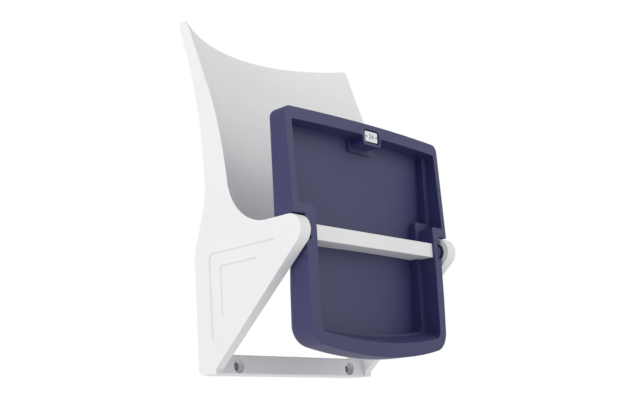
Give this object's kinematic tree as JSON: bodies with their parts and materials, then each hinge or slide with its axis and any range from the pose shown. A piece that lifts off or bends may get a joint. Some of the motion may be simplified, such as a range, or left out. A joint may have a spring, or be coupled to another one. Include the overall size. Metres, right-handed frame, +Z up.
{
  "type": "stadium seat",
  "caption": "Tip-up stadium seat for riser mounting: curved white back between two side frames with arms, and a dark blue tray-shaped pan that springs up.",
  "frame": {"origin": "midway between the two riser bolts, on the riser's face", "axes": "+Y back into the riser along the bolts, +X across the seat, +Z up"},
  "size_m": [0.4796, 0.382, 0.7218],
  "materials": {
    "white_moulding": "white moulded polypropylene, fine satin",
    "navy_moulding": "dark blue moulded polypropylene, satin gloss",
    "dark_nylon": "dark nylon",
    "plate_white": "white gloss plate",
    "zinc_steel": "zinc plated",
    "spring_steel": "oiled spring wire",
    "black_rubber": "moulded rubber"
  },
  "bodies": {
    "frame": {"back_shell": "white_moulding", "left_side_frame": "white_moulding", "right_side_frame": "white_moulding", "mounting_crossbar": "white_moulding", "bolt_sleeves": "zinc_steel", "back_screws": "zinc_steel", "crossbar_screws": "zinc_steel", "pivot_axle_left": "zinc_steel", "pivot_axle_right": "zinc_steel", "pivot_spacer_left": "dark_nylon", "pivot_spacer_right": "dark_nylon", "spring_retainer_left": "zinc_steel", "spring_retainer_right": "zinc_steel", "return_spring_left": "spring_steel", "return_spring_right": "spring_steel", "stop_peg_left": "zinc_steel", "stop_peg_right": "zinc_steel", "stop_sleeve_left": "black_rubber", "stop_sleeve_right": "black_rubber"},
    "seat": {"seat_pan": "navy_moulding", "seat_beam": "white_moulding", "pivot_bush_left": "navy_moulding", "pivot_bush_right": "navy_moulding", "number_plate": "plate_white", "plate_rivets": "dark_nylon"}
  },
  "joints": [
    {"name": "seat_tip", "type": "hinge", "parent": "frame", "child": "seat", "pos_m": [0, -0.267, 0.221], "axis": [1, 0, 0], "range_deg": [0, 86], "stiffness_Nm_per_rad": 1, "springref_deg": -51.57, "deforming": ["return_spring_left", "return_spring_right"]}
  ]
}
